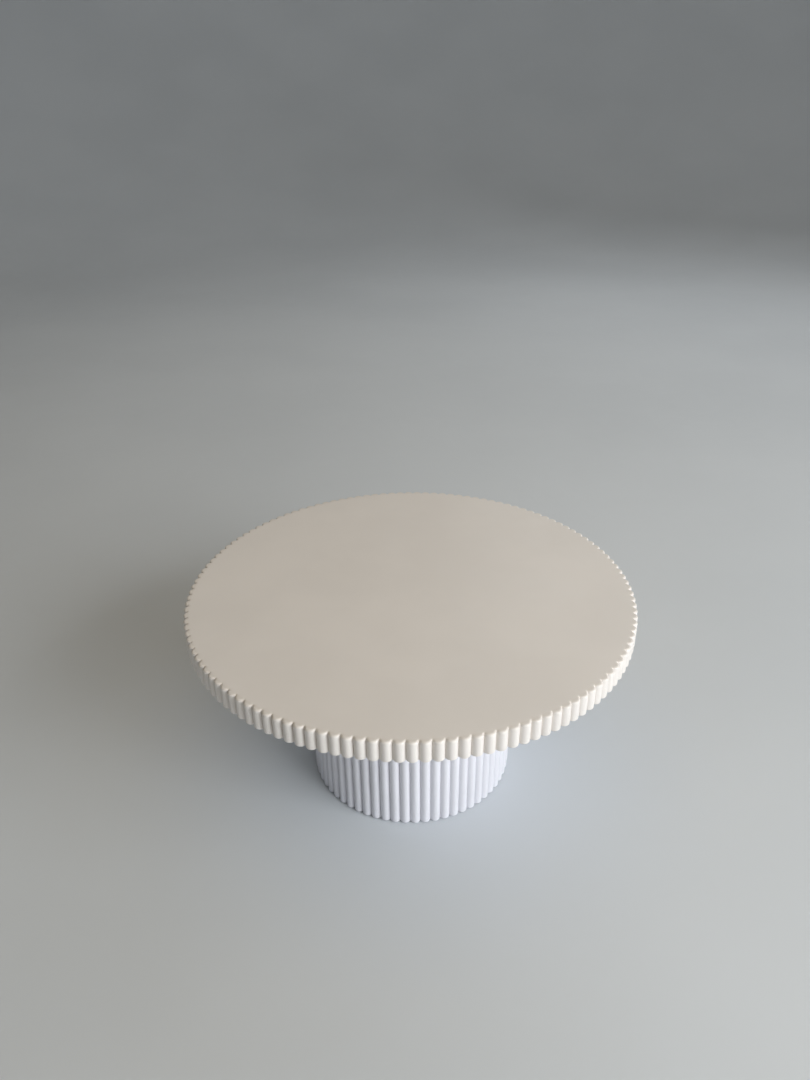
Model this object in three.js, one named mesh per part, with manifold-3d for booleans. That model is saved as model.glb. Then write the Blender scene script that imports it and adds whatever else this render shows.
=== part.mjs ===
// A cake turntable: a round platter with a reeded edge that turns on a reeded drum pedestal.
// Millimetres, +Z up. The origin is the centre of the plane that the four rubber feet rest on.
import * as THREE from 'three';
import { mergeVertices } from 'three/addons/utils/BufferGeometryUtils.js';
import Module from 'manifold-3d';

const wasm = await Module();
wasm.setup();

// Overall
const HEIGHT = 145;
const RIB_DEPTH = 2.57;
const STEPS_PER_RIB = 4;
const FIT = 0.3; // gap between pieces that touch
const THIN_FIT = 0.2; // the smaller gap under a race, a flange or a screw head, and round the washer
const OVERCUT = 1; // how far a cutting tool stands out of the face that it opens

// Platter: a solid board whose edge is cut into half-round reeds
const PLATTER = { radius: 150, thickness: 14, ribs: 132, valley: -88.47, roundOver: 1 };
const PLATTER_UNDERSIDE = HEIGHT - PLATTER.thickness;

// Drum: a hollow cylinder with the same reeds, from just above the table to just under the platter
const DRUM = { radius: 72.5, ribs: 64, valley: -91.05, bore: 62, bottom: 0.5, runningGap: 1.2 };
const DRUM_TOP = PLATTER_UNDERSIDE - DRUM.runningGap;

// Boards that close the drum, and the glue blocks that they are screwed to
const BOARD = { radius: DRUM.bore - 0.4, thickness: 8 };
const BASE_BOTTOM = 0.8;
const DECK_TOP = 120;
const DECK_BOTTOM = DECK_TOP - BOARD.thickness;
const BLOCK = {
  inner: 46, outer: BOARD.radius - 0.1, halfWidth: 9, bottom: BASE_BOTTOM + BOARD.thickness + FIT };
const FOOT = { radius: 8, height: 2.8, recess: 2.2, ring: 52, turn: 45, lip: 0.6 };

// Thrust bearing between the deck and the platter
const BALL = { radius: 3, ring: 40, count: 12 };
const RACE = { inner: 29, outer: 46, thickness: 3.2, groove: 3.18 };
const LOWER_RACE_BOTTOM = DECK_TOP + THIN_FIT;
const LOWER_RACE_TOP = LOWER_RACE_BOTTOM + RACE.thickness;
const UPPER_RACE_TOP = PLATTER_UNDERSIDE - THIN_FIT;
const UPPER_RACE_BOTTOM = UPPER_RACE_TOP - RACE.thickness;
const GROOVE_POINTS = [1, 0.34, -0.34, -1]; // shares of half the groove's arc
const BALL_HEIGHT = (LOWER_RACE_TOP + UPPER_RACE_BOTTOM) / 2;
const CAGE = { inner: 36, outer: 44, thickness: 1.8, pocket: 3.25 };

// Central spindle, its bush in the deck, and what holds it down
const SPINDLE = {
  radius: 5, bottom: 104.5, chamfer: 0.8, groove: 4.2, flange: 12, flangeHeight: 2.4,
  stub: 3.9, stubHeight: 8.5, stubChamfer: 0.6 };
const BUSH = { bore: 5.1, outer: 8, flange: 11, flangeHeight: 1.6, bottom: 110 };
const CLIP = { bottom: 106.6, thickness: 1, inner: 4.4, outer: 7.5, mouth: 50, play: 0.1 };
const WASHER = { bottom: 107.9, thickness: 1.6, outer: 10 };
const INSERT = { outer: 6.1, bore: 4.2, height: 9, hole: 6.4, depth: 10 };

// Countersunk wood screws, four to a set. "up" says which way the tip points.
const QUARTERS = [0, 90, 180, 270];
const SOCKET_DEPTH = 1;
const SMALL_SCREW = { head: 3, headHeight: 1.8, shank: 1.6, socket: 1.1, length: 9 };
const LARGE_SCREW = { head: 3.6, headHeight: 2.2, shank: 1.9, socket: 1.3, length: 18 };
const SCREWS = {
  deck_screw: { size: LARGE_SCREW, ring: 54, z: DECK_TOP, up: false },
  base_screw: { size: LARGE_SCREW, ring: 54, z: BASE_BOTTOM, up: true },
  lower_race_screw: { size: SMALL_SCREW, ring: 33.5, z: LOWER_RACE_TOP, up: false },
  upper_race_screw: { size: SMALL_SCREW, ring: 33.5, z: UPPER_RACE_BOTTOM, up: true },
};

// How many sides a circle has
const SIDES = { bore: 64, board: 48, race: 48, cage: 36, turned: 24, small: 16, hole: 10, screw: 8 };
const BALL_FACETS = { around: 8, down: 6 };
const ARC_STEPS = { clip: 16, block: 4 };

const WHITE_PAINT = { color: 0xe2ddd6, roughness: 0.5, metalness: 0 };
const DRUM_PAINT = { color: 0xdde0e4, roughness: 0.5, metalness: 0 };
const BARE_WOOD = { color: 0xc8a878, roughness: 0.8, metalness: 0 };
const STEEL = { color: 0xb8bcc0, roughness: 0.35, metalness: 1 };
const BRASS = { color: 0xb89a50, roughness: 0.4, metalness: 1 };
const NYLON = { color: 0xe8e6dc, roughness: 0.5, metalness: 0 };
const RUBBER = { color: 0x26262a, roughness: 0.9, metalness: 0 };

const group = new THREE.Group();

function add(name, geometry, finish) {
  const mesh = new THREE.Mesh(geometry, new THREE.MeshStandardMaterial(finish));
  mesh.name = name;
  group.add(mesh);
  return mesh;
}

// ---- Geometry helpers ----

const radians = THREE.MathUtils.degToRad;
const polar = (radius, degrees) => [
  radius * Math.cos(radians(degrees)), radius * Math.sin(radians(degrees))];

// Only positions, shared between neighbouring faces, without the slivers left on a lathe's axis.
function weld(geometry) {
  geometry.deleteAttribute('normal');
  geometry.deleteAttribute('uv');
  const merged = mergeVertices(geometry);
  const corners = Array.from(merged.index.array);
  const faces = [];
  for (let i = 0; i < corners.length; i += 3) {
    const [a, b, c] = corners.slice(i, i + 3);
    if (a !== b && b !== c && c !== a) faces.push(a, b, c);
  }
  merged.setIndex(faces);
  return merged;
}

function toManifold(geometry) {
  const { position } = geometry.attributes;
  return new wasm.Manifold(new wasm.Mesh({
    numProp: 3,
    vertProperties: new Float32Array(position.array),
    triVerts: new Uint32Array(geometry.index.array),
  }));
}

function cut(geometry, tools) {
  let solid = toManifold(geometry);
  for (const tool of tools) solid = solid.subtract(toManifold(tool));
  const { vertProperties, triVerts } = solid.getMesh();
  const result = new THREE.BufferGeometry();
  result.setAttribute('position', new THREE.BufferAttribute(vertProperties, 3));
  result.setIndex(Array.from(triVerts));
  return result;
}

// A solid of revolution about +Z from [radius, z] points that run anticlockwise round the section.
function revolve(profile, segments) {
  const points = profile.map(([r, z]) => new THREE.Vector2(r, z));
  return weld(new THREE.LatheGeometry(points, segments).rotateX(Math.PI / 2));
}

function ring(inner, outer, bottom, height, segments) {
  const top = bottom + height;
  return revolve(
    [[inner, bottom], [outer, bottom], [outer, top], [inner, top], [inner, bottom]], segments);
}

function cylinder(radius, bottom, height, segments) {
  const top = bottom + height;
  return revolve([[0, bottom], [radius, bottom], [radius, top], [0, top]], segments);
}

function extrude(shape, bottom, height) {
  const geometry = new THREE.ExtrudeGeometry(shape, { depth: height, bevelEnabled: false });
  return weld(geometry.translate(0, 0, bottom));
}

// Points along an arc about (x, y), from one angle to another in degrees.
function arc(radius, from, to, steps, x = 0, y = 0) {
  return Array.from({ length: steps + 1 }, (_, i) => {
    const [dx, dy] = polar(radius, from + (to - from) * i / steps);
    return new THREE.Vector2(x + dx, y + dy);
  });
}

const circle = (radius, sides, x, y) => arc(radius, 0, 360, sides, x, y).slice(0, sides);

// The outline of a reeded edge: each reed is one arc that meets its neighbours in sharp valleys.
function reededOutline({ radius, ribs, valley }) {
  const valleyRadius = radius - RIB_DEPTH;
  const halfPitch = Math.PI / ribs;
  const halfChord = valleyRadius * Math.sin(halfPitch);
  const sagitta = radius - valleyRadius * Math.cos(halfPitch);
  const arcRadius = (halfChord ** 2 + sagitta ** 2) / (2 * sagitta);
  const halfArc = Math.asin(halfChord / arcRadius);
  const outline = [];
  for (let rib = 0; rib < ribs; rib += 1) {
    const middle = radians(valley) + (2 * rib + 1) * halfPitch;
    for (let step = 0; step < STEPS_PER_RIB; step += 1) {
      const turn = halfArc * (2 * step / STEPS_PER_RIB - 1);
      const along = radius - arcRadius + arcRadius * Math.cos(turn);
      const across = arcRadius * Math.sin(turn);
      outline.push(new THREE.Vector2(
        along * Math.cos(middle) - across * Math.sin(middle),
        along * Math.sin(middle) + across * Math.cos(middle)));
    }
  }
  return outline;
}

// A solid between outlines stacked from the bottom up, closed by a fan at each end.
function stack(levels) {
  const count = levels[0].outline.length;
  const positions = [];
  for (const { outline, z } of levels) {
    for (const point of outline) positions.push(point.x, point.y, z);
  }
  const bottomCentre = levels.length * count;
  positions.push(0, 0, levels[0].z, 0, 0, levels.at(-1).z);
  const faces = [];
  for (let i = 0; i < count; i += 1) {
    const next = (i + 1) % count;
    for (let level = 0; level < levels.length - 1; level += 1) {
      const low = level * count;
      const high = low + count;
      faces.push(low + i, low + next, high + next, low + i, high + next, high + i);
    }
    const top = (levels.length - 1) * count;
    faces.push(bottomCentre, next, i, bottomCentre + 1, top + i, top + next);
  }
  const geometry = new THREE.BufferGeometry();
  geometry.setAttribute('position', new THREE.Float32BufferAttribute(positions, 3));
  geometry.setIndex(faces);
  return geometry;
}

// ---- Screws ----

// Head flush with z = 0 and tip down, with a socket in the head.
function screwShape({ head, headHeight, shank, socket, length }) {
  const tip = 2 * shank;
  return revolve([
    [0, -length], [shank, tip - length], [shank, -headHeight], [head, 0],
    [socket, 0], [socket, -SOCKET_DEPTH], [0, -SOCKET_DEPTH]], SIDES.screw);
}

// The same screw with clearance all round, for the hole that it sits in.
function screwHoleShape({ head, headHeight, shank, length }) {
  return revolve([
    [0, -length - FIT], [shank + FIT, -length - FIT], [shank + FIT, -headHeight - FIT],
    [head + FIT, -THIN_FIT], [head + FIT, OVERCUT], [0, OVERCUT]], SIDES.hole);
}

function placeScrew(geometry, { ring: radius, z, up }, angle) {
  const [x, y] = polar(radius, angle);
  if (up) geometry.rotateX(Math.PI);
  return geometry.translate(x, y, z);
}

const screwHoles = (set) =>
  QUARTERS.map((angle) => placeScrew(screwHoleShape(SCREWS[set].size), SCREWS[set], angle));

function addScrews(set) {
  QUARTERS.forEach((angle, i) => {
    const geometry = placeScrew(screwShape(SCREWS[set].size), SCREWS[set], angle);
    add(`${set}_${i + 1}`, geometry, STEEL);
  });
}

// ---- Pieces ----

function addPlatter() {
  const outline = reededOutline(PLATTER);
  const shrink = (PLATTER.radius - PLATTER.roundOver) / PLATTER.radius;
  const inset = outline.map((point) => point.clone().multiplyScalar(shrink));
  const body = stack([
    { outline, z: PLATTER_UNDERSIDE },
    { outline, z: HEIGHT - PLATTER.roundOver },
    { outline: inset, z: HEIGHT }]);
  const insertHole = cylinder(
    INSERT.hole, PLATTER_UNDERSIDE - OVERCUT, INSERT.depth + OVERCUT, SIDES.small);
  add('platter', cut(body, [insertHole, ...screwHoles('upper_race_screw')]), WHITE_PAINT);
}

function addDrum() {
  const shape = new THREE.Shape(reededOutline(DRUM));
  shape.holes.push(new THREE.Path(circle(DRUM.bore, SIDES.bore)));
  add('pedestal_drum', extrude(shape, DRUM.bottom, DRUM_TOP - DRUM.bottom), DRUM_PAINT);
}

function addDeckBoard() {
  const board = ring(
    BUSH.outer + FIT, BOARD.radius, DECK_BOTTOM, BOARD.thickness, SIDES.board);
  const holes = [...screwHoles('deck_screw'), ...screwHoles('lower_race_screw')];
  add('deck_board', cut(board, holes), BARE_WOOD);
}

function addBaseBoard() {
  const board = cylinder(BOARD.radius, BASE_BOTTOM, BOARD.thickness, SIDES.board);
  const recesses = QUARTERS.map((angle) => {
    const [x, y] = polar(FOOT.ring, angle + FOOT.turn);
    const recess = cylinder(
      FOOT.radius + FIT, BASE_BOTTOM - OVERCUT, FOOT.recess + OVERCUT, SIDES.small);
    return recess.translate(x, y, 0);
  });
  add('base_board', cut(board, [...screwHoles('base_screw'), ...recesses]), DRUM_PAINT);
}

function addCornerBlocks() {
  const halfAngle = THREE.MathUtils.radToDeg(Math.asin(BLOCK.halfWidth / BLOCK.outer));
  const shape = new THREE.Shape([
    new THREE.Vector2(BLOCK.inner, BLOCK.halfWidth),
    new THREE.Vector2(BLOCK.inner, -BLOCK.halfWidth),
    ...arc(BLOCK.outer, -halfAngle, halfAngle, ARC_STEPS.block)]);
  const height = DECK_BOTTOM - FIT - BLOCK.bottom;
  const holes = [...screwHoles('deck_screw'), ...screwHoles('base_screw')];
  QUARTERS.forEach((angle, i) => {
    const block = extrude(shape, BLOCK.bottom, height).rotateZ(radians(angle));
    add(`corner_block_${i + 1}`, cut(block, holes), BARE_WOOD);
  });
}

function addFeet() {
  QUARTERS.forEach((angle, i) => {
    const [x, y] = polar(FOOT.ring, angle + FOOT.turn);
    const foot = revolve([
      [0, 0], [FOOT.radius - FOOT.lip, 0], [FOOT.radius, FOOT.lip],
      [FOOT.radius, FOOT.height], [0, FOOT.height]], SIDES.small);
    add(`foot_${i + 1}`, foot.translate(x, y, 0), RUBBER);
  });
}

// The section of a race whose groove faces the balls. side is -1 below them and 1 above.
function raceShape(side) {
  const back = BALL_HEIGHT + side * (UPPER_RACE_TOP - BALL_HEIGHT);
  const face = BALL_HEIGHT + side * (UPPER_RACE_BOTTOM - BALL_HEIGHT);
  const halfArc = Math.acos((UPPER_RACE_BOTTOM - BALL_HEIGHT) / RACE.groove);
  const groove = GROOVE_POINTS.map((share) => [
    BALL.ring + RACE.groove * Math.sin(share * halfArc),
    BALL_HEIGHT + side * RACE.groove * Math.cos(share * halfArc)]);
  const section = [
    [RACE.inner, back], [RACE.outer, back], [RACE.outer, face], ...groove,
    [RACE.inner, face], [RACE.inner, back]];
  return revolve(side < 0 ? section : section.reverse(), SIDES.race);
}

function addBearing() {
  add('lower_race', cut(raceShape(-1), screwHoles('lower_race_screw')), STEEL);
  add('upper_race', cut(raceShape(1), screwHoles('upper_race_screw')), STEEL);
  const cage = new THREE.Shape(circle(CAGE.outer, SIDES.cage));
  cage.holes.push(new THREE.Path(circle(CAGE.inner, SIDES.cage)));
  for (let i = 0; i < BALL.count; i += 1) {
    const [x, y] = polar(BALL.ring, i * 360 / BALL.count);
    cage.holes.push(new THREE.Path(circle(CAGE.pocket, SIDES.hole, x, y)));
    const ball = weld(new THREE.SphereGeometry(BALL.radius, BALL_FACETS.around, BALL_FACETS.down));
    add(`ball_${i + 1}`, ball.translate(x, y, BALL_HEIGHT), STEEL);
  }
  const bottom = BALL_HEIGHT - CAGE.thickness / 2;
  add('ball_cage', extrude(cage, bottom, CAGE.thickness), NYLON);
}

function addSpindle() {
  const { radius, bottom, chamfer, groove, flange, stub, stubChamfer } = SPINDLE;
  const grooveBottom = CLIP.bottom - CLIP.play;
  const grooveTop = CLIP.bottom + CLIP.thickness + CLIP.play;
  const flangeTop = PLATTER_UNDERSIDE - FIT;
  const flangeBottom = flangeTop - SPINDLE.flangeHeight;
  const stubTop = PLATTER_UNDERSIDE + SPINDLE.stubHeight;
  add('spindle', revolve([
    [0, bottom], [radius - chamfer, bottom], [radius, bottom + chamfer], [radius, grooveBottom],
    [groove, grooveBottom], [groove, grooveTop], [radius, grooveTop], [radius, flangeBottom],
    [flange, flangeBottom], [flange, flangeTop], [stub, flangeTop],
    [stub, stubTop - stubChamfer], [stub - stubChamfer, stubTop], [0, stubTop]],
  SIDES.turned), STEEL);
  const insert = ring(
    INSERT.bore, INSERT.outer, PLATTER_UNDERSIDE + FIT, INSERT.height, SIDES.small);
  add('threaded_insert', insert, BRASS);
}

function addBush() {
  const shoulder = DECK_TOP + THIN_FIT;
  const top = shoulder + BUSH.flangeHeight;
  add('spindle_bush', revolve([
    [BUSH.bore, BUSH.bottom], [BUSH.outer, BUSH.bottom], [BUSH.outer, shoulder],
    [BUSH.flange, shoulder], [BUSH.flange, top], [BUSH.bore, top],
    [BUSH.bore, BUSH.bottom]], SIDES.turned), NYLON);
}

function addRetainers() {
  const washer = ring(
    SPINDLE.radius + THIN_FIT, WASHER.outer, WASHER.bottom, WASHER.thickness, SIDES.turned);
  add('retaining_washer', washer, STEEL);
  const start = CLIP.mouth / 2;
  const clip = new THREE.Shape([
    ...arc(CLIP.outer, start, 360 - start, ARC_STEPS.clip),
    ...arc(CLIP.inner, 360 - start, start, ARC_STEPS.clip)]);
  add('retaining_clip', extrude(clip, CLIP.bottom, CLIP.thickness), STEEL);
}

addPlatter();
addDrum();
addDeckBoard();
addBaseBoard();
addCornerBlocks();
addFeet();
addBearing();
addSpindle();
addBush();
addRetainers();
Object.keys(SCREWS).forEach(addScrews);

export default group;
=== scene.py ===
"""Looks for the cake turntable: a reeded platter on a reeded drum pedestal, painted satin white.

Metres, +Z up. The origin is the centre of the plane that the feet rest on.
"""
import math

import bmesh
import bpy
import numpy as np
from mathutils import Matrix, Vector


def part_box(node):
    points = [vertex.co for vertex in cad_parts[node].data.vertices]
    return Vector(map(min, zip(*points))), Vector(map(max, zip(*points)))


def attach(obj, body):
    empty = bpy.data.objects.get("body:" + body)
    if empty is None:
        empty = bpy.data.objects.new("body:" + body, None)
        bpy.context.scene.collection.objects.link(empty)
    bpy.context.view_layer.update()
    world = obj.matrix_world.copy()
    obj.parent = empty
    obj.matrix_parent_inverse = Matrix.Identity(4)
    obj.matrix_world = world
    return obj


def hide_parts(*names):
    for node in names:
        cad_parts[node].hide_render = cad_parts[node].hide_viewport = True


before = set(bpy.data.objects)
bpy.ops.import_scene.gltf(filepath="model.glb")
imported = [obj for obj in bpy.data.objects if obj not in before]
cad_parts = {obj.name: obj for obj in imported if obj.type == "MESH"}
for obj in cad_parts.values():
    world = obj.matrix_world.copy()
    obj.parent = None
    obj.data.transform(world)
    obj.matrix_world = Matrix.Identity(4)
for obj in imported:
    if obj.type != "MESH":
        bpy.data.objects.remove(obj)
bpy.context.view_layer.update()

MM = 0.001

# ---- Sizes, from the frame ----

PLATTER_LOW, PLATTER_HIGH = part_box("platter")
DRUM_LOW, DRUM_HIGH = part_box("pedestal_drum")
PLATTER_RADIUS = 150 * MM
DRUM_RADIUS = 72.5 * MM
DRUM_BORE = 62 * MM
RIB_DEPTH = 2.57 * MM
PLATTER_RIBS, PLATTER_VALLEY = 132, math.radians(-88.47)
DRUM_RIBS, DRUM_VALLEY = 64, math.radians(-91.05)
QUARTERS = [math.radians(a) for a in (0, 90, 180, 270)]
BOARD_RADIUS = 61.6 * MM
BUSH_HOLE = 8.3 * MM
FOOT_RING, FOOT_RADIUS = 52 * MM, 8 * MM
BALL_RING, BALL_RADIUS, BALL_COUNT = 40 * MM, 3 * MM, 12
RACE_INNER, RACE_OUTER, RACE_GROOVE = 29 * MM, 46 * MM, 3.18 * MM
CAGE_INNER, CAGE_OUTER, POCKET_RADIUS = 36 * MM, 44 * MM, 3.25 * MM
INSERT_HOLE = 6.4 * MM
FIT = 0.3 * MM  # the gap between pieces that touch
THIN_FIT = 0.2 * MM  # the smaller gap under a screw head or over a foot
OVERCUT = MM  # how far a cutting tool stands out of the face that it opens

# Countersunk screws: head and shank radius, head height, length and thread pitch,
# then the ring that each kind stands on, and whether its tip points up
SMALL_SCREW = dict(head=3 * MM, shank=1.6 * MM, head_height=1.8 * MM, length=9 * MM,
                   pitch=1.1 * MM)
LARGE_SCREW = dict(head=3.6 * MM, shank=1.9 * MM, head_height=2.2 * MM, length=18 * MM,
                   pitch=1.4 * MM)
SCREWS = {
    "deck_screw": dict(size=LARGE_SCREW, ring=54 * MM, up=False, body="base"),
    "base_screw": dict(size=LARGE_SCREW, ring=54 * MM, up=True, body="base"),
    "lower_race_screw": dict(size=SMALL_SCREW, ring=33.5 * MM, up=False, body="base"),
    "upper_race_screw": dict(size=SMALL_SCREW, ring=33.5 * MM, up=True, body="platter"),
}
FIRST_RECESS_TURN, RECESS_TURN_STEP = 0.7, 1.9  # radians, so that no two cross recesses line up
SCREW_SIDES, SPINDLE_SIDES, THREAD_STEPS = 28, 64, 8


# ---- Mesh building ----

def mesh_object(name, vertices, faces, smooth_angle=35):
    """A mesh piece that is smooth except across edges sharper than smooth_angle degrees."""
    mesh = bpy.data.meshes.new(name)
    mesh.from_pydata([tuple(v) for v in vertices], [], faces)
    mesh.validate()
    piece = bpy.data.objects.new(name, mesh)
    bpy.context.scene.collection.objects.link(piece)
    shade(piece, smooth_angle)
    return piece


def shade(piece, smooth_angle):
    work = bmesh.new()
    work.from_mesh(piece.data)
    for face in work.faces:
        face.smooth = True
    limit = math.radians(smooth_angle)
    for edge in work.edges:
        edge.smooth = len(edge.link_faces) == 2 and edge.calc_face_angle(0) < limit
    work.to_mesh(piece.data)
    work.free()


def loft(name, rings, closed=False, **options):
    """A skin over equal rings, each (n, 3), that run anticlockwise from the bottom up and over.

    A closed loft joins its last ring to the first. An open one has a flat cap at each end."""
    count = len(rings[0])
    vertices = np.concatenate(rings)
    faces = []
    levels = len(rings)
    for level in range(levels if closed else levels - 1):
        low, high = level * count, (level + 1) % levels * count
        for i in range(count):
            j = (i + 1) % count
            faces.append((low + i, low + j, high + j, high + i))
    if not closed:
        faces.append(tuple(reversed(range(count))))
        faces.append(tuple(range((levels - 1) * count, levels * count)))
    return mesh_object(name, vertices, faces, **options)


def flat_ring(outline, z):
    """An (n, 2) outline at one height."""
    return np.column_stack([outline, np.full(len(outline), z)])


def circle_ring(radius, z, angles):
    """A ring about the axis, whose radius is one number or one for each angle."""
    return flat_ring(np.stack([radius * np.cos(angles), radius * np.sin(angles)], 1), z)


def around(count):
    """Evenly spread angles for a full turn."""
    return np.arange(count) * 2 * math.pi / count


def row_turn(angle):
    """The matrix that turns rows of (x, y) about the origin."""
    return np.array([[math.cos(angle), math.sin(angle)], [-math.sin(angle), math.cos(angle)]])


def rounded(corners, steps=5):
    """A section's outline from (radius, z, rounding) corners, each rounded by a tangent arc."""
    points = []
    count = len(corners)
    for i, (r, z, rounding) in enumerate(corners):
        here = np.array([r, z])
        if rounding == 0:
            points.append(here)
            continue
        before = np.array(corners[i - 1][:2]) - here
        after = np.array(corners[(i + 1) % count][:2]) - here
        before /= np.linalg.norm(before)
        after /= np.linalg.norm(after)
        half = math.acos(np.clip(before @ after, -1, 1)) / 2
        reach = rounding / math.tan(half)
        inward = (before + after) / np.linalg.norm(before + after)
        centre = here + inward * rounding / math.sin(half)
        start, end = here + before * reach - centre, here + after * reach - centre
        sweep = math.atan2(start[0] * end[1] - start[1] * end[0], start @ end)
        for step in range(steps + 1):
            turn = sweep * step / steps
            cos, sin = math.cos(turn), math.sin(turn)
            points.append(centre + np.array([start[0] * cos - start[1] * sin,
                                             start[0] * sin + start[1] * cos]))
    return points


def square_section(inner, outer, low, high, soft):
    """A ring's section between two radii and two heights, with its corners rounded by soft."""
    return rounded([(inner, low, soft), (outer, low, soft),
                    (outer, high, soft), (inner, high, soft)])


def lathe(name, section, segments=96):
    """A ring turned from a closed section, or a solid from one that starts and ends at radius 0."""
    on_axis = section[0][0] < 1e-9
    if on_axis:
        section = section[1:-1]
    rings = [circle_ring(r, z, around(segments)) for r, z in section]
    return loft(name, rings, closed=not on_axis)


def plug(name, radius, low, high, segments):
    """A plain round tool that cuts a hole."""
    return lathe(name, [(0, low), (radius, low), (radius, high), (0, high)], segments)


def carve(piece, tools, smooth_angle=35):
    """Cuts each tool out of the piece, and removes the tools."""
    for tool in tools:
        cut = piece.modifiers.new("cut", "BOOLEAN")
        cut.operation = "DIFFERENCE"
        cut.solver = "EXACT"
        cut.object = tool
    bpy.context.view_layer.update()
    carved = piece.evaluated_get(bpy.context.evaluated_depsgraph_get())
    mesh = bpy.data.meshes.new_from_object(carved)
    piece.modifiers.clear()
    piece.data = mesh
    for tool in tools:
        bpy.data.objects.remove(tool)
    shade(piece, smooth_angle)
    return piece


def place(piece, x, y, z, turn=0.0, upside_down=False):
    """Moves the mesh itself, so that the object stays at the origin and turns with its body."""
    matrix = Matrix.Translation((x, y, z)) @ Matrix.Rotation(turn, 4, "Z")
    if upside_down:
        matrix = matrix @ Matrix.Rotation(math.pi, 4, "X")
    piece.data.transform(matrix)
    return piece


def fit(piece, body, slot, material, *nodes):
    """Hangs a finished piece on its body in place of CAD nodes."""
    piece.data.materials.clear()
    piece.data.materials.append(material)
    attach(piece, body)
    if nodes:
        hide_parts(*nodes)
    return piece


# ---- Reeded edges ----

def reeds(radius, ribs, first_valley, fillet=0.12 * MM, arc_steps=12, valley_steps=6):
    """Points on a reeded outline and the way out at each, as two (n, 2) arrays.

    Each reed is one arc, and a small fillet, as thick paint leaves, joins it to the next."""
    half_pitch = math.pi / ribs
    valley = radius - RIB_DEPTH
    half_chord = valley * math.sin(half_pitch)
    sagitta = radius - valley * math.cos(half_pitch)
    arc = (half_chord ** 2 + sagitta ** 2) / (2 * sagitta)
    hub = radius - arc
    beside = hub * math.sin(half_pitch)
    fillet_at = hub * math.cos(half_pitch) + math.sqrt((arc + fillet) ** 2 - beside ** 2)
    fillet_centre = fillet_at * np.array([math.cos(half_pitch), math.sin(half_pitch)])
    end = math.atan2(fillet_centre[1], fillet_centre[0] - hub)
    points, outward = [], []
    for turn in np.linspace(-end, end, arc_steps + 1):
        way = np.array([math.cos(turn), math.sin(turn)])
        points.append(np.array([hub, 0]) + arc * way)
        outward.append(way)
    for turn in np.linspace(end, 2 * half_pitch - end, valley_steps + 1)[1:-1]:
        way = np.array([math.cos(turn), math.sin(turn)])
        points.append(fillet_centre - fillet * way)
        outward.append(way)
    one_points, one_outward = np.array(points), np.array(outward)
    all_points, all_outward = [], []
    for rib in range(ribs):
        turned = row_turn(first_valley + (2 * rib + 1) * half_pitch)
        all_points.append(one_points @ turned)
        all_outward.append(one_outward @ turned)
    return np.concatenate(all_points), np.concatenate(all_outward)


def reed_ring(points, outward, inset, z):
    return flat_ring(points - outward * inset, z)


def round_over(points, outward, z_edge, radius, side, steps=6):
    """Rings that round an edge over at height z_edge. side is 1 at the top and -1 at the bottom."""
    rings = []
    for step in range(steps + 1):
        turn = math.pi / 2 * step / steps
        inset = radius * (1 - math.cos(turn))
        z = z_edge - side * radius * (1 - math.sin(turn))
        rings.append(reed_ring(points, outward, inset, z))
    return rings if side > 0 else rings[::-1]


def shrunk(ring, radius):
    """A circle of points at the same angles as a ring's, at its height."""
    length = np.hypot(ring[:, 0], ring[:, 1])
    return np.column_stack([ring[:, :2] / length[:, None] * radius, ring[:, 2]])


# ---- Screws ----

def make_screw(name, size):
    """A countersunk wood screw, head at z = 0 and tip down, with a thread and a cross recess."""
    head, shank, head_height, length, pitch = (
        size[key] for key in ("head", "shank", "head_height", "length", "pitch"))
    angles = around(SCREW_SIDES)
    core, point = 0.68 * shank, 3 * shank
    rings = []
    for z in np.arange(-length, -head_height - pitch, pitch / THREAD_STEPS):
        along = (z / pitch - angles / (2 * math.pi)) % 1
        ridge = np.clip(1 - np.abs(along - 0.5) / 0.24, 0, 1)
        taper = min(1, (z + length) / point + 0.06)
        radius = (core + (shank - core) * ridge) * taper
        rings.append(circle_ring(radius, z, angles))
    for radius, z in ((core, -head_height - 0.6 * pitch), (0.86 * shank, -head_height),
                      (head - 0.1 * MM, -0.25 * MM), (head, -0.15 * MM), (head, -0.05 * MM),
                      (head - 0.08 * MM, 0), (0.8 * head, 0)):
        rings.append(circle_ring(radius, z, angles))
    screw = loft(name, rings, smooth_angle=40)
    return carve(screw, [make_cross(0.56 * head, 0.11 * head, 0.85 * head_height)], 40)


def make_cross(reach, half, depth):
    """A tapered cross that sinks a driver recess from z = 0."""
    outline = []
    for quarter in QUARTERS:
        arm = ((reach, -half), (reach, half), (half, half))
        outline += [np.array(point) @ row_turn(quarter) for point in arm]
    outline = np.array(outline)
    rings = [flat_ring(outline * share, z) for share, z in ((0.42, -depth), (1, 0), (1, OVERCUT))]
    return loft("cross", rings)


def screw_hole(size):
    """A countersunk hole for a screw of this size, as a tool that cuts it."""
    bore, mouth, bottom = size["shank"] + FIT, size["head"] + FIT, -size["length"] - FIT
    section = [(0, bottom), (bore, bottom), (bore, -size["head_height"] - FIT),
               (mouth, -THIN_FIT), (mouth, OVERCUT), (0, OVERCUT)]
    return lathe("hole", section, 40)


def screw_places(kind):
    """Where each screw of a kind has its head."""
    for i, angle in enumerate(QUARTERS):
        low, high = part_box(f"{kind}_{i + 1}")
        head_z = low.z if SCREWS[kind]["up"] else high.z
        ring = SCREWS[kind]["ring"]
        yield i, ring * math.cos(angle), ring * math.sin(angle), head_z


def screw_holes(kind):
    return [place(screw_hole(SCREWS[kind]["size"]), x, y, z, upside_down=SCREWS[kind]["up"])
            for _i, x, y, z in screw_places(kind)]


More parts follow.
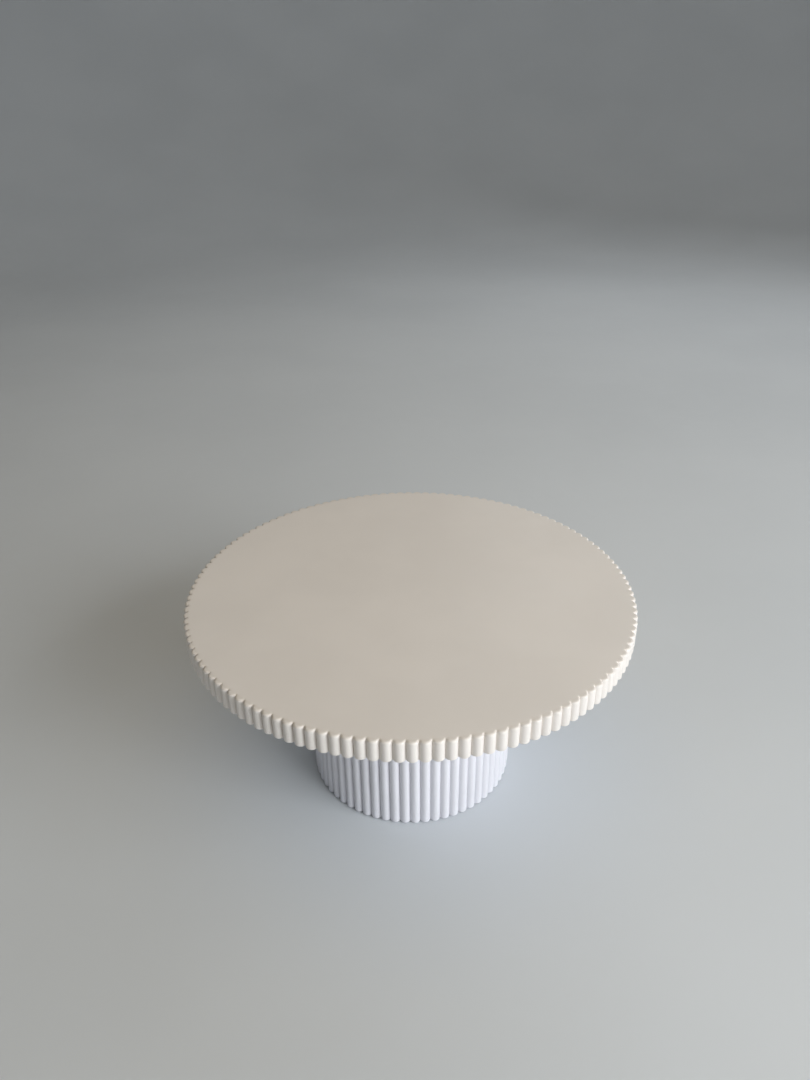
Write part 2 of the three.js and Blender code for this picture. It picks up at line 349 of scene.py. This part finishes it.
def add_screws(kind, material):
    for i, x, y, z in screw_places(kind):
        node = f"{kind}_{i + 1}"
        screw = make_screw(f"{node}_body", SCREWS[kind]["size"])
        turn = FIRST_RECESS_TURN + RECESS_TURN_STEP * i
        place(screw, x, y, z, turn, upside_down=SCREWS[kind]["up"])
        fit(screw, SCREWS[kind]["body"], "bearing_steel", material, node)


# ---- Boards, blocks and feet ----

def make_board(name, node, inner, edge, tools):
    """A round board with softened edges, bored through when inner isn't 0."""
    low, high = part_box(node)
    corners = [(inner, low.z, edge * (inner > 0)), (BOARD_RADIUS, low.z, edge),
               (BOARD_RADIUS, high.z, edge), (inner, high.z, edge * (inner > 0))]
    section = rounded(corners)
    return carve(lathe(name, section, 144), tools)


def make_base_panel():
    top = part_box("foot_1")[1].z + THIN_FIT
    recesses = [place(plug("recess", FOOT_RADIUS + FIT, -OVERCUT, top, 64), x, y, 0)
                for x, y in foot_places()]
    tools = [*recesses, *screw_holes("base_screw")]
    return make_board("base_panel", "base_board", 0, 0.5 * MM, tools)


def make_deck_panel():
    holes = [*screw_holes("deck_screw"), *screw_holes("lower_race_screw")]
    return make_board("deck_panel", "deck_board", BUSH_HOLE, 0.4 * MM, holes)


def foot_places():
    for angle in QUARTERS:
        yield FOOT_RING * math.cos(angle + math.pi / 4), FOOT_RING * math.sin(angle + math.pi / 4)


def make_foot(name):
    """A rubber disc with a shallow dished ring in its tread."""
    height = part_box("foot_1")[1].z
    r = FOOT_RADIUS
    corners = [(0, 0.35 * MM, 0), (0.3 * r, 0.35 * MM, 0.3 * MM), (0.42 * r, 0, 0.25 * MM),
               (0.62 * r, 0, 0.2 * MM), (0.67 * r, 0.3 * MM, 0.1 * MM), (0.72 * r, 0, 0.2 * MM),
               (r - 0.3 * MM, 0, 0.3 * MM), (r, 0.6 * MM, 0.4 * MM), (r, height, 0.3 * MM),
               (0, height, 0)]
    return lathe(name, rounded(corners), 72)


def make_corner_block(name, angle):
    """A softwood glue block whose outer face follows the drum's bore."""
    low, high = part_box("corner_block_1")
    inner, outer, half = low.x, BOARD_RADIUS - 0.1 * MM, high.y
    swing = math.asin(half / outer)
    face = [(outer * math.cos(a), outer * math.sin(a)) for a in np.linspace(-swing, swing, 9)]
    chamfer, soft = MM, 0.4 * MM
    outline = np.array([(inner, half - chamfer), (inner, -half + chamfer), (inner + chamfer, -half),
                        *face, (inner + chamfer, half)])
    middle = np.array([(inner + outer) / 2, 0])
    levels = ((0.95, low.z), (1, low.z + soft), (1, high.z - soft), (0.95, high.z))
    rings = [flat_ring(middle + (outline - middle) * share, z) for share, z in levels]
    block = place(loft(name, rings), 0, 0, 0, turn=angle)
    return carve(block, [*screw_holes("deck_screw"), *screw_holes("base_screw")])


# ---- Bearing and spindle ----

def make_race(name, node, side):
    """A hardened ring whose groove faces the balls. side is -1 below them and 1 above."""
    low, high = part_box(node)
    middle = ball_height()
    back, face = (low.z, high.z) if side < 0 else (high.z, low.z)
    half_arc = math.acos(abs(face - middle) / RACE_GROOVE)
    groove = [(BALL_RING + RACE_GROOVE * math.sin(a), middle + side * RACE_GROOVE * math.cos(a))
              for a in np.linspace(half_arc, -half_arc, 15)]
    soft = 0.35 * MM
    section = rounded([(RACE_INNER, back, soft), (RACE_OUTER, back, soft), (RACE_OUTER, face, soft),
                       *[(r, z, 0) for r, z in groove], (RACE_INNER, face, soft)])
    if side > 0:
        section = section[::-1]
    kind = "lower_race_screw" if side < 0 else "upper_race_screw"
    return carve(lathe(name, section, 180), screw_holes(kind), 30)


def ball_height():
    low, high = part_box("ball_cage")
    return (low.z + high.z) / 2


def ball_places():
    for i in range(BALL_COUNT):
        angle = 2 * math.pi * i / BALL_COUNT
        yield i, BALL_RING * math.cos(angle), BALL_RING * math.sin(angle)


def make_cage(name):
    low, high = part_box("ball_cage")
    section = square_section(CAGE_INNER, CAGE_OUTER, low.z, high.z, 0.3 * MM)
    bottom, top = low.z - OVERCUT, high.z + OVERCUT
    pockets = [place(plug("pocket", POCKET_RADIUS, bottom, top, 40), x, y, 0)
               for _i, x, y in ball_places()]
    return carve(lathe(name, section, 144), pockets)


def make_ball(name):
    turns = np.linspace(-math.pi / 2, math.pi / 2, 19)
    section = [(0, -BALL_RADIUS), *[(BALL_RADIUS * math.cos(a), BALL_RADIUS * math.sin(a))
                                    for a in turns[1:-1]], (0, BALL_RADIUS)]
    return lathe(name, section, 36)


def make_spindle(name):
    """A shouldered pin: a clip groove at its foot, a flange, and a threaded stub above it."""
    low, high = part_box("spindle")
    clip_low, clip_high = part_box("retaining_clip")
    flange_top = PLATTER_LOW.z - FIT
    slack, shaft, groove, flange, stub = 0.1 * MM, 5 * MM, 4.2 * MM, 12 * MM, 3.9 * MM
    corners = [(shaft - 0.8 * MM, low.z, 0), (shaft, low.z + 0.8 * MM, 0.3 * MM),
               (shaft, clip_low.z - slack, 0.1 * MM), (groove, clip_low.z - slack, 0.1 * MM),
               (groove, clip_high.z + slack, 0.1 * MM), (shaft, clip_high.z + slack, 0.1 * MM),
               (shaft, flange_top - 2.4 * MM, 0.3 * MM), (flange, flange_top - 2.4 * MM, 0.5 * MM),
               (flange, flange_top, 0.4 * MM), (stub, flange_top, 0.2 * MM)]
    angles = around(SPINDLE_SIDES)
    outline = rounded([*corners, (stub, high.z, 0), (0, high.z, 0), (0, low.z, 0)])
    rings = [circle_ring(r, z, angles) for r, z in outline
             if r > 0 and z < flange_top + 0.3 * MM]
    pitch, depth, plain = 1.25 * MM, 0.7 * MM, 0.5 * MM
    for z in np.arange(flange_top + plain, high.z - plain, pitch / THREAD_STEPS):
        along = (z / pitch - angles / (2 * math.pi)) % 1
        radius = stub - depth * np.abs(2 * along - 1)
        rings.append(circle_ring(radius, z, angles))
    rings.append(circle_ring(stub - depth, high.z - 0.2 * MM, angles))
    rings.append(circle_ring(stub - depth - 0.3 * MM, high.z, angles))
    return loft(name, rings, smooth_angle=40)


def make_ring(name, node, inner, outer, soft):
    low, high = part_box(node)
    return lathe(name, square_section(inner, outer, low.z, high.z, soft))


def make_bush(name):
    low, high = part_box("spindle_bush")
    bore, outer, flange = 5.1 * MM, 8 * MM, 11 * MM
    shoulder = high.z - 1.6 * MM
    soft = 0.3 * MM
    section = rounded([(bore, low.z, soft), (outer, low.z, soft), (outer, shoulder, 0),
                       (flange, shoulder, soft), (flange, high.z, soft), (bore, high.z, soft)])
    return lathe(name, section)


def make_insert(name):
    """A brass sleeve knurled outside, so that the board grips it."""
    low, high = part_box("threaded_insert")
    bore, outer, teeth, depth = 4.2 * MM, 6.1 * MM, 36, 0.3 * MM
    angles = around(4 * teeth)
    knurl = outer - depth * (np.arange(4 * teeth) % 4 == 0)
    plain = 0.8 * MM
    rings = [circle_ring(bore, low.z, angles), circle_ring(outer - depth, low.z, angles)]
    rings += [circle_ring(knurl, z, angles) for z in (low.z + plain, high.z - plain)]
    rings += [circle_ring(outer - depth, high.z, angles), circle_ring(bore, high.z, angles)]
    return loft(name, rings, closed=True, smooth_angle=20)


def make_clip(name):
    """An open spring ring in the spindle's groove."""
    low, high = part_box("retaining_clip")
    inner, outer, mouth = 4.4 * MM, 7.5 * MM, math.radians(25)
    outside = np.linspace(mouth, 2 * math.pi - mouth, 61)
    outline = np.array([(outer * math.cos(a), outer * math.sin(a)) for a in outside]
                       + [(inner * math.cos(a), inner * math.sin(a)) for a in outside[::-1]])
    return loft(name, [flat_ring(outline, z) for z in (low.z, high.z)])


# ---- Platter and drum ----

def make_platter():
    points, outward = reeds(PLATTER_RADIUS, PLATTER_RIBS, PLATTER_VALLEY)
    bottom = round_over(points, outward, PLATTER_LOW.z, 0.8 * MM, -1)
    top = round_over(points, outward, PLATTER_HIGH.z, 1.4 * MM, 1, steps=8)
    flat_edge = PLATTER_RADIUS - RIB_DEPTH - 2.4 * MM
    rings = [shrunk(bottom[0], flat_edge - 2 * MM), shrunk(bottom[0], flat_edge), *bottom, *top,
             shrunk(top[-1], flat_edge), shrunk(top[-1], flat_edge - 2 * MM)]
    insert_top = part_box("threaded_insert")[1].z + 0.7 * MM
    insert_hole = plug("insert_hole", INSERT_HOLE, PLATTER_LOW.z - OVERCUT, insert_top, 64)
    tools = [insert_hole, *screw_holes("upper_race_screw")]
    return carve(loft("platter_body", rings, smooth_angle=50), tools, 50)


def make_drum():
    points, outward = reeds(DRUM_RADIUS, DRUM_RIBS, DRUM_VALLEY)
    bottom = round_over(points, outward, DRUM_LOW.z, 0.9 * MM, -1)
    top = round_over(points, outward, DRUM_HIGH.z, 0.9 * MM, 1)
    land = DRUM_RADIUS - RIB_DEPTH - 1.6 * MM
    soft = 0.5 * MM
    rings = [shrunk(bottom[0], DRUM_BORE + soft), shrunk(bottom[0], land), *bottom, *top,
             shrunk(top[-1], land), shrunk(top[-1], DRUM_BORE + soft)]
    inner_top = shrunk(top[-1], DRUM_BORE)
    inner_top[:, 2] -= soft
    inner_bottom = shrunk(bottom[0], DRUM_BORE)
    inner_bottom[:, 2] += soft
    return loft("drum_body", [*rings, inner_top, inner_bottom], closed=True, smooth_angle=50)


# ---- Materials ----

class Nodes:
    """Short calls for wiring a material."""

    def __init__(self, name):
        self.material = bpy.data.materials.new(name)
        self.material.use_nodes = True
        self.tree = self.material.node_tree
        self.shader = self.tree.nodes["Principled BSDF"]
        self.place = self.add("ShaderNodeTexCoord").outputs["Object"]

    def add(self, kind, **values):
        node = self.tree.nodes.new(kind)
        for key, value in values.items():
            setattr(node, key, value)
        return node

    def wire(self, value, socket):
        if isinstance(value, bpy.types.NodeSocket):
            self.tree.links.new(value, socket)
        else:
            socket.default_value = value

    def noise(self, scale, detail=3.0, roughness=0.55, stretch=(1, 1, 1), seed=0.0):
        mapping = self.add("ShaderNodeMapping")
        self.wire(self.place, mapping.inputs["Vector"])
        mapping.inputs["Scale"].default_value = stretch
        mapping.inputs["Location"].default_value = (seed, seed * 0.7, seed * 1.3)
        noise = self.add("ShaderNodeTexNoise")
        self.wire(mapping.outputs[0], noise.inputs["Vector"])
        noise.inputs["Scale"].default_value = scale
        noise.inputs["Detail"].default_value = detail
        noise.inputs["Roughness"].default_value = roughness
        return noise.outputs["Fac"]

    def spread(self, value, low, high, to_low=0.0, to_high=1.0):
        """Maps low..high to to_low..to_high, held at both ends."""
        ranged = self.add("ShaderNodeMapRange")
        ranged.interpolation_type = "SMOOTHSTEP"
        self.wire(value, ranged.inputs["Value"])
        for socket, number in zip(("From Min", "From Max", "To Min", "To Max"),
                                  (low, high, to_low, to_high)):
            self.wire(number, ranged.inputs[socket])
        return ranged.outputs["Result"]

    def math(self, operation, a, b=0.0):
        node = self.add("ShaderNodeMath", operation=operation)
        self.wire(a, node.inputs[0])
        self.wire(b, node.inputs[1])
        return node.outputs[0]

    def mix(self, share, a, b):
        node = self.add("ShaderNodeMix", data_type="RGBA")
        self.wire(share, node.inputs[0])
        self.wire(a, node.inputs[6])
        self.wire(b, node.inputs[7])
        return node.outputs[2]

    def axis_distance(self):
        """How far a point is from the turning axis, and how high it is."""
        split = self.add("ShaderNodeSeparateXYZ")
        self.wire(self.place, split.inputs[0])
        squares = self.math("ADD", self.math("MULTIPLY", split.outputs[0], split.outputs[0]),
                            self.math("MULTIPLY", split.outputs[1], split.outputs[1]))
        return self.math("SQRT", squares), split.outputs[2]

    def bump(self, height, distance, strength=1.0, under=None):
        node = self.add("ShaderNodeBump")
        self.wire(height, node.inputs["Height"])
        node.inputs["Distance"].default_value = distance
        node.inputs["Strength"].default_value = strength
        if under is not None:
            self.wire(under, node.inputs["Normal"])
        return node.outputs["Normal"]

    def finish(self, colour, roughness, normal=None, metallic=0.0, **inputs):
        self.wire(colour, self.shader.inputs["Base Color"])
        self.wire(roughness, self.shader.inputs["Roughness"])
        self.shader.inputs["Metallic"].default_value = metallic
        if normal is not None:
            self.wire(normal, self.shader.inputs["Normal"])
        for key, value in inputs.items():
            self.wire(value, self.shader.inputs[key.replace("_", " ")])
        return self.material


def tint(colour, factor):
    return tuple(min(1.0, c * factor) for c in colour[:3]) + (1.0,)


def satin_paint(name, colour, tip_radius, seed):
    """Sprayed satin paint: mottling, orange peel, fine marks, and painted shade that darkens the
    reed valleys.
    """
    n = Nodes(name)
    cloud = n.spread(n.noise(16, 3, seed=seed), 0.35, 0.65)
    base = n.mix(cloud, tint(colour, 0.985), tint(colour, 1.015))
    speck = n.spread(n.noise(620, 2, 0.5, seed=seed + 3), 0.70, 0.78)
    base = n.mix(n.math("MULTIPLY", speck, 0.10), base, tint(colour, 0.72))
    radius, _height = n.axis_distance()
    # Painted shade: the colour darkens and yellows towards each reed's valley, where shade falls
    # between the reeds.
    in_valley = n.spread(radius, tip_radius - RIB_DEPTH, tip_radius - 0.45 * RIB_DEPTH, 1.0, 0.0)
    on_edge = n.spread(radius, tip_radius - RIB_DEPTH - 1.5 * MM, tip_radius - RIB_DEPTH)
    dust_and_painted_shade = n.math("MULTIPLY", n.math("MULTIPLY", in_valley, on_edge), 0.16)
    painted_valley_shade_colour = tuple(c * f for c, f in zip(colour, (0.78, 0.73, 0.66))) + (1.0,)
    base = n.mix(dust_and_painted_shade, base, painted_valley_shade_colour)
    marks = n.spread(n.noise(70, 4, 0.6, stretch=(1, 9, 1), seed=seed + 7), 0.60, 0.72)
    rough = n.spread(n.noise(45, 3, seed=seed + 1), 0.3, 0.7, 0.32, 0.42)
    rough = n.math("ADD", rough, n.math("MULTIPLY", marks, 0.07))
    peel = n.bump(n.noise(520, 2, 0.5, seed=seed + 5), 0.05 * MM, 0.35)
    normal = n.bump(n.noise(60, 3, 0.5, seed=seed + 6), 0.12 * MM, 0.25, under=peel)
    return n.finish(base, rough, normal, IOR=1.47)


def rings_of_the_lathe(n, scale, seed):
    """Noise that is drawn out into circles about the turning axis, as a cutting tool leaves."""
    radius, height = n.axis_distance()
    at = n.add("ShaderNodeCombineXYZ")
    n.wire(radius, at.inputs[0])
    n.wire(height, at.inputs[1])
    at.inputs[2].default_value = seed
    noise = n.add("ShaderNodeTexNoise")
    n.wire(at.outputs[0], noise.inputs["Vector"])
    noise.inputs["Scale"].default_value = scale
    noise.inputs["Detail"].default_value = 3
    return noise.outputs["Fac"]


def turned_metal(name, colour, roughness, seed):
    n = Nodes(name)
    lines = rings_of_the_lathe(n, 3200, seed)
    cloud = n.noise(140, 3, seed=seed)
    base = n.mix(n.spread(cloud, 0.3, 0.7), tint(colour, 0.88), tint(colour, 1.04))
    rough = n.math("ADD", n.spread(lines, 0.3, 0.7, roughness - 0.07, roughness + 0.09),
                   n.spread(cloud, 0.5, 0.8, 0, 0.1))
    return n.finish(base, rough, n.bump(lines, 0.02 * MM, 0.5), metallic=1.0)


def plated_steel(name):
    """Zinc-plated screws, with faint grey blooms."""
    n = Nodes(name)
    bloom = n.spread(n.noise(420, 3, seed=4), 0.45, 0.7)
    base = n.mix(bloom, (0.62, 0.63, 0.64, 1), (0.47, 0.48, 0.47, 1))
    rough = n.spread(n.noise(900, 2, seed=9), 0.3, 0.7, 0.24, 0.42)
    return n.finish(base, rough, n.bump(n.noise(1500, 2, seed=6), 0.02 * MM, 0.3), metallic=1.0)


def bare_board(name, pale, dark, grain, seed):
    """Unpainted board or softwood. grain stretches the fibres, which are long where it is small."""
    n = Nodes(name)
    fibre = n.noise(260, 5, 0.65, stretch=grain, seed=seed)
    cloud = n.noise(26, 3, stretch=grain, seed=seed + 2)
    base = n.mix(n.spread(fibre, 0.32, 0.68), dark, pale)
    base = n.mix(n.math("MULTIPLY", n.spread(cloud, 0.4, 0.7), 0.35), base, dark)
    return n.finish(base, n.spread(fibre, 0.3, 0.7, 0.72, 0.9), n.bump(fibre, 0.12 * MM, 0.5))


def foot_rubber(name):
    n = Nodes(name)
    dust_and_painted_shade = n.spread(n.noise(240, 4, 0.6, seed=3), 0.55, 0.8)
    base = n.mix(dust_and_painted_shade, (0.022, 0.022, 0.025, 1), (0.07, 0.068, 0.064, 1))
    rough = n.spread(n.noise(90, 3, seed=8), 0.3, 0.7, 0.6, 0.8)
    return n.finish(base, rough, n.bump(n.noise(1800, 2, seed=5), 0.03 * MM, 0.6))


def moulded_nylon(name):
    n = Nodes(name)
    cloud = n.spread(n.noise(120, 3, seed=7), 0.35, 0.65)
    base = n.mix(cloud, (0.78, 0.75, 0.67, 1), (0.83, 0.81, 0.74, 1))
    rough = n.spread(n.noise(300, 2, seed=1), 0.3, 0.7, 0.38, 0.52)
    return n.finish(base, rough, n.bump(n.noise(700, 2, seed=2), 0.03 * MM, 0.3),
                    Subsurface_Weight=0.15, Subsurface_Scale=0.002)


# ---- Camera, floor and light ----

def make_camera():
    """Looks down at the turntable from the front, a little above a standing cake's height."""
    pitch, roll, yaw = math.radians(29.26), math.radians(-0.726), math.radians(-0.352)
    back, above = 3.2134 * PLATTER_RADIUS, 2.0528 * PLATTER_RADIUS
    ahead = math.cos(pitch)
    forward = Vector((math.sin(yaw) * ahead, math.cos(yaw) * ahead, -math.sin(pitch)))
    level = Vector((math.cos(yaw), -math.sin(yaw), 0))
    upright = level.cross(forward)
    right = level * math.cos(roll) + upright * math.sin(roll)
    up = upright * math.cos(roll) - level * math.sin(roll)
    data = bpy.data.cameras.new("camera")
    data.lens, data.sensor_width = 28.107, 36
    data.clip_start = 0.01
    camera = bpy.data.objects.new("camera", data)
    bpy.context.scene.collection.objects.link(camera)
    camera.matrix_world = Matrix.Translation((0, -back, PLATTER_HIGH.z + above)) @ Matrix(
        [(right[i], up[i], -forward[i], 0) for i in range(3)] + [(0, 0, 0, 1)])
    bpy.context.scene.camera = camera


def make_floor():
    """A pale round floor that curves up far away into a pale wall all about the turntable."""
    radius, bend, top, segments = 3.6, 1.8, 3.6, 96
    profile = [(radius - bend + bend * math.sin(turn), bend * (1 - math.cos(turn)))
               for turn in np.linspace(0, math.pi / 2, 13)]
    profile.append((radius, top))
    vertices = np.concatenate([circle_ring(r, z, around(segments)) for r, z in profile])
    faces = [tuple(range(segments))]
    for level in range(len(profile) - 1):
        low, high = level * segments, (level + 1) * segments
        for i in range(segments):
            j = (i + 1) % segments
            faces.append((low + j, low + i, high + i, high + j))
    floor = mesh_object("floor", vertices, faces, smooth_angle=60)
    n = Nodes("floor_paper")
    tone = n.spread(n.noise(3, 2, seed=2), 0.3, 0.7)
    colour = n.mix(tone, (0.62, 0.655, 0.69, 1), (0.65, 0.685, 0.72, 1))
    n.finish(colour, n.spread(n.noise(40, 2, seed=4), 0.3, 0.7, 0.62, 0.72),
             n.bump(n.noise(300, 2, seed=5), 0.05 * MM, 0.3))
    floor.data.materials.append(n.material)


def add_area_light(name, azimuth, elevation, distance, size, power, colour):
    """A square soft light aimed at the turntable from a direction in degrees and a distance."""
    aim = Vector((0, 0, 0.1))
    turn, lift = math.radians(azimuth), math.radians(elevation)
    level = distance * math.cos(lift)
    data = bpy.data.lights.new(name, "AREA")
    data.shape, data.size = "SQUARE", size
    data.energy, data.color = power, colour
    light = bpy.data.objects.new(name, data)
    bpy.context.scene.collection.objects.link(light)
    height = distance * math.sin(lift)
    light.location = aim + Vector((level * math.cos(turn), level * math.sin(turn), height))
    light.rotation_euler = (aim - light.location).to_track_quat("-Z", "Y").to_euler()


def make_light():
    """Two soft windows on the right, one behind, a faint warm lamp overhead, and a dim surround."""
    add_area_light("window", -35, 22, 1.8, 1.2, 28.0, (0.96, 0.985, 1.0))
    add_area_light("front_window", -60, 22, 1.8, 1.2, 6.5, (0.96, 0.985, 1.0))
    add_area_light("back_window", 60, 35, 1.8, 1.4, 5.5, (0.96, 0.985, 1.0))
    add_area_light("ceiling_lamp", -90, 80, 1.7, 1.8, 4.2, (1.0, 0.65, 0.14))
    world = bpy.data.worlds.new("surround")
    world.use_nodes = True
    background = world.node_tree.nodes["Background"]
    background.inputs["Color"].default_value = (1.0, 0.96, 0.90, 1)
    background.inputs["Strength"].default_value = 0.15
    bpy.context.scene.world = world
    bpy.context.scene.view_settings.view_transform = "Standard"


# ---- Scene ----

make_camera()
make_floor()
make_light()

# One white satin paint in two tints: the drum's copy is tinted blue, painted blue bounce light, and
# the platter's copy is warm, partly its own cream tone and partly painted warm light.
platter_paint = satin_paint("platter_satin_paint", (0.775, 0.735, 0.700), PLATTER_RADIUS, 11.0)
drum_paint = satin_paint("drum_satin_paint_blue_bounce", (0.745, 0.742, 0.79), DRUM_RADIUS, 23.0)
steel = turned_metal("ground_steel", (0.60, 0.60, 0.61), 0.26, 3.0)
brass = turned_metal("turned_brass", (0.74, 0.56, 0.28), 0.30, 8.0)
zinc = plated_steel("zinc_plate")
fibreboard = bare_board("bare_fibreboard", (0.60, 0.43, 0.27, 1), (0.42, 0.28, 0.16, 1),
                        grain=(1, 1, 2.5), seed=4.0)
softwood = bare_board("bare_softwood", (0.78, 0.60, 0.38, 1), (0.60, 0.41, 0.22, 1),
                      grain=(3, 3, 0.12), seed=9.0)
rubber = foot_rubber("black_rubber")
nylon = moulded_nylon("natural_nylon")

fit(make_platter(), "platter", "platter_paint", platter_paint, "platter")
fit(make_drum(), "base", "drum_paint", drum_paint, "pedestal_drum")
fit(make_base_panel(), "base", "drum_paint", drum_paint, "base_board")
fit(make_deck_panel(), "base", "bare_board", fibreboard, "deck_board")
for i, angle in enumerate(QUARTERS):
    block = make_corner_block(f"corner_block_{i + 1}_body", angle)
    fit(block, "base", "bare_board", softwood, f"corner_block_{i + 1}")
for i, (x, y) in enumerate(foot_places()):
    foot = place(make_foot(f"foot_{i + 1}_body"), x, y, 0)
    fit(foot, "base", "rubber_foot", rubber, f"foot_{i + 1}")
fit(make_race("lower_race_body", "lower_race", -1), "base", "bearing_steel", steel, "lower_race")
fit(make_race("upper_race_body", "upper_race", 1), "platter", "bearing_steel", steel, "upper_race")
fit(make_cage("ball_cage_body"), "cage", "nylon", nylon, "ball_cage")
for i, x, y in ball_places():
    ball = place(make_ball(f"ball_{i + 1}_body"), x, y, ball_height())
    fit(ball, "cage", "bearing_steel", steel, f"ball_{i + 1}")
fit(make_spindle("spindle_body"), "platter", "bearing_steel", steel, "spindle")
fit(make_insert("threaded_insert_body"), "platter", "brass_insert", brass, "threaded_insert")
fit(make_bush("spindle_bush_body"), "base", "nylon", nylon, "spindle_bush")
washer = make_ring("retaining_washer_body", "retaining_washer", 5.2 * MM, 10 * MM, 0.25 * MM)
fit(washer, "platter", "bearing_steel", steel, "retaining_washer")
fit(make_clip("retaining_clip_body"), "platter", "bearing_steel", steel, "retaining_clip")
for kind in SCREWS:
    add_screws(kind, zinc)
